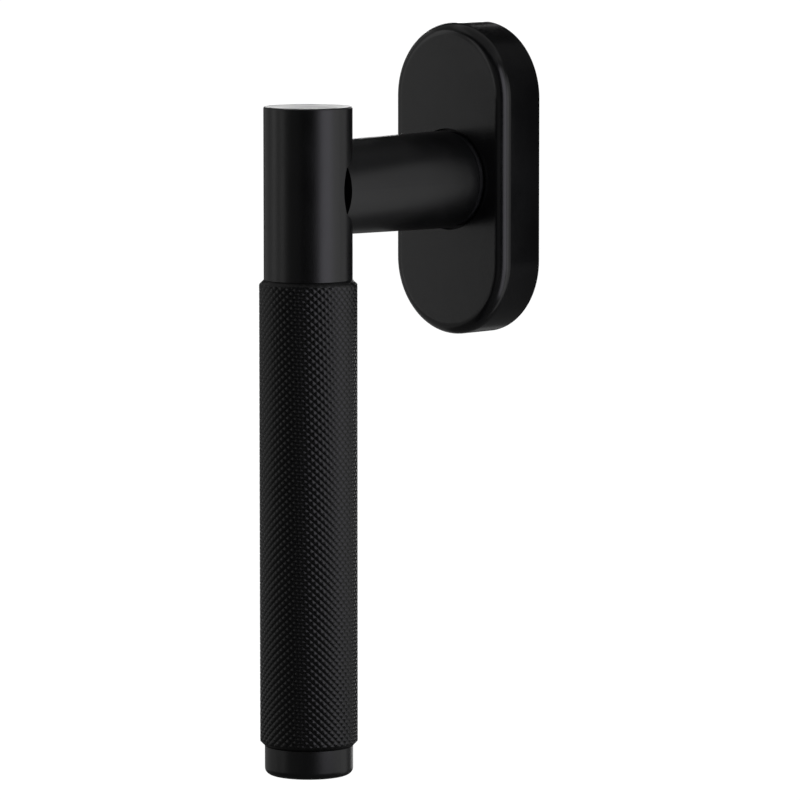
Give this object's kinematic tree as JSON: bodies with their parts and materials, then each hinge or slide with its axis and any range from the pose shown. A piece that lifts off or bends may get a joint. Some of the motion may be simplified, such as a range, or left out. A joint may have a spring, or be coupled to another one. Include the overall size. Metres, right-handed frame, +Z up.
{
  "type": "tilt and turn window handle",
  "caption": "Window handle with a round upright grip, knurled sleeve, tapered neck and oval rosette; it turns in quarter-turn clicks and drives a square spindle.",
  "frame": {"origin": "centre of the rosette's mounting face, midway between the two screw holes, on the axis of the square spindle", "axes": "+Z up, -Y out of the window towards the room, +X to the right seen from the room; the handle is closed, with its grip pointing down"},
  "size_m": [0.031, 0.0654, 0.1514],
  "materials": {
    "satin_black": "satin black coating on turned brass, smooth, soft sheen",
    "knurled_black": "satin black coating over a fine diamond knurl",
    "cover_black": "satin black coating on a pressed shell, smooth",
    "cast_zinc": "die-cast zinc, blackened, dull, slightly rough",
    "nylon": "black moulded nylon",
    "turned_steel": "turned and broached steel, zinc plated",
    "zinc_plated_steel": "bright zinc plated steel",
    "blackened_steel": "oil-blackened steel",
    "spring_steel": "tempered spring steel strip, grey-blue"
  },
  "bodies": {
    "rosette": {"base_plate": "cast_zinc", "bearing_bush": "nylon", "rear_plate": "zinc_plated_steel", "rear_plate_screws": "blackened_steel", "click_spring_right": "spring_steel", "click_spring_left": "spring_steel", "cover_clip_right": "spring_steel", "cover_clip_left": "spring_steel"},
    "lever": {"grip_bar": "satin_black", "knurled_sleeve": "knurled_black", "end_cap": "satin_black", "end_cap_stud": "zinc_plated_steel", "neck": "satin_black", "neck_screw": "zinc_plated_steel", "neck_screw_washer": "zinc_plated_steel", "grip_dowels": "zinc_plated_steel", "drive_sleeve": "turned_steel", "spindle_set_screw": "blackened_steel", "click_cam": "turned_steel", "cam_washer": "zinc_plated_steel", "retaining_ring": "blackened_steel"},
    "spindle": {"spindle": "turned_steel"},
    "cover": {"rosette_cover": "cover_black"}
  },
  "joints": [
    {"name": "lever_turn", "type": "hinge", "parent": "rosette", "child": "lever", "pos_m": [0, 0, 0], "axis": [0, 1, 0], "range_deg": [-180, 180], "deforming": ["click_spring_right", "click_spring_left"]},
    {"name": "spindle_slide", "type": "slide", "parent": "lever", "child": "spindle", "axis": [0, 1, 0], "range_m": [0, 0.024]},
    {"name": "cover_slide", "type": "slide", "parent": "rosette", "child": "cover", "axis": [0, -1, 0], "range_m": [0, 0.02]}
  ]
}
